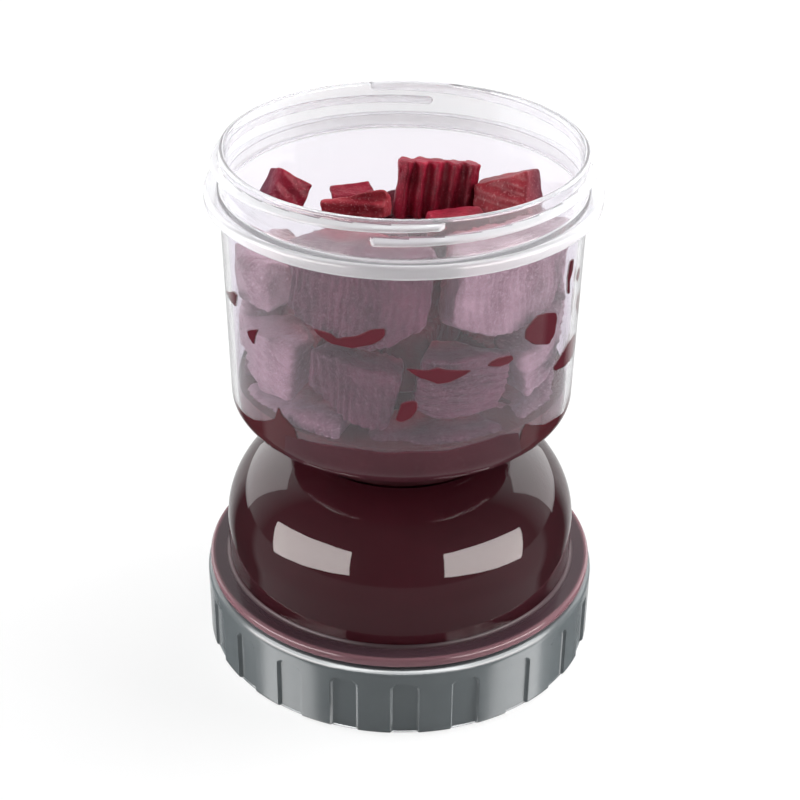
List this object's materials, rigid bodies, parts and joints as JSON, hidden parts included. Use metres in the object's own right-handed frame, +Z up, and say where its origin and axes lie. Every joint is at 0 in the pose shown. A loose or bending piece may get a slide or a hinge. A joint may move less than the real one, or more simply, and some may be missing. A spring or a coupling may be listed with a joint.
{
  "type": "hourglass pickle jar",
  "caption": "Flip-over pickle jar: two clear chambers screwed together at a narrow waist with a strainer, standing in a fluted screw lid and filled with beetroot slices in juice.",
  "frame": {"origin": "centre of the circle that the lid's foot ring stands on", "axes": "+Z up along the jar's axis, -Y towards the viewer"},
  "size_m": [0.108, 0.108, 0.1435],
  "materials": {
    "lid_plastic": "satin moulded slate grey",
    "clear_plastic": "clear, slightly milky, glossy",
    "seal_silicone": "matt translucent white",
    "strainer_plastic": "matt white",
    "juice": "dark burgundy liquid",
    "beetroot": "wet crinkle-cut beetroot"
  },
  "bodies": {
    "base_lid": {"base_lid": "lid_plastic"},
    "lid_seal": {"lid_seal": "seal_silicone"},
    "lower_chamber": {"lower_chamber": "clear_plastic", "lower_juice": "juice"},
    "waist_parts": {"strainer": "strainer_plastic", "waist_seal": "seal_silicone"},
    "upper_chamber": {"upper_chamber": "clear_plastic", "upper_juice": "juice", "beet_floor_1": "beetroot", "beet_floor_2": "beetroot", "beet_floor_3": "beetroot", "beet_floor_4": "beetroot", "beet_floor_5": "beetroot", "beet_floor_6": "beetroot", "beet_floor_core_1": "beetroot", "beet_floor_core_2": "beetroot", "beet_mid_1": "beetroot", "beet_mid_2": "beetroot", "beet_mid_3": "beetroot", "beet_mid_4": "beetroot", "beet_mid_5": "beetroot", "beet_mid_6": "beetroot", "beet_mid_7": "beetroot", "beet_mid_8": "beetroot", "beet_mid_9": "beetroot", "beet_mid_core_1": "beetroot", "beet_mid_core_2": "beetroot", "beet_front_1": "beetroot", "beet_front_2": "beetroot", "beet_side_1": "beetroot", "beet_side_2": "beetroot", "beet_upper_core_1": "beetroot", "beet_upper_core_2": "beetroot", "beet_top_1": "beetroot", "beet_top_2": "beetroot", "beet_top_3": "beetroot", "beet_top_4": "beetroot", "beet_top_5": "beetroot", "beet_top_6": "beetroot", "beet_top_7": "beetroot"}
  },
  "joints": [
    {"name": "lid_turn", "type": "hinge", "parent": "base_lid", "child": "lid_seal", "pos_m": [0, 0, 0], "axis": [0, 0, 1], "range_deg": [0, 360]},
    {"name": "lid_lift", "type": "slide", "parent": "lid_seal", "child": "lower_chamber", "axis": [0, 0, 1], "range_m": [0, 0.007]},
    {"name": "waist_turn", "type": "hinge", "parent": "lower_chamber", "child": "waist_parts", "pos_m": [0, 0, 0], "axis": [0, 0, 1], "range_deg": [0, 360]},
    {"name": "waist_lift", "type": "slide", "parent": "waist_parts", "child": "upper_chamber", "axis": [0, 0, 1], "range_m": [0, 0.006]}
  ],
  "couplings": [
    {"joint": "lid_lift", "follows": "lid_turn", "m_per_rad": 0.001114},
    {"joint": "waist_lift", "follows": "waist_turn", "m_per_rad": 0.0009549}
  ]
}
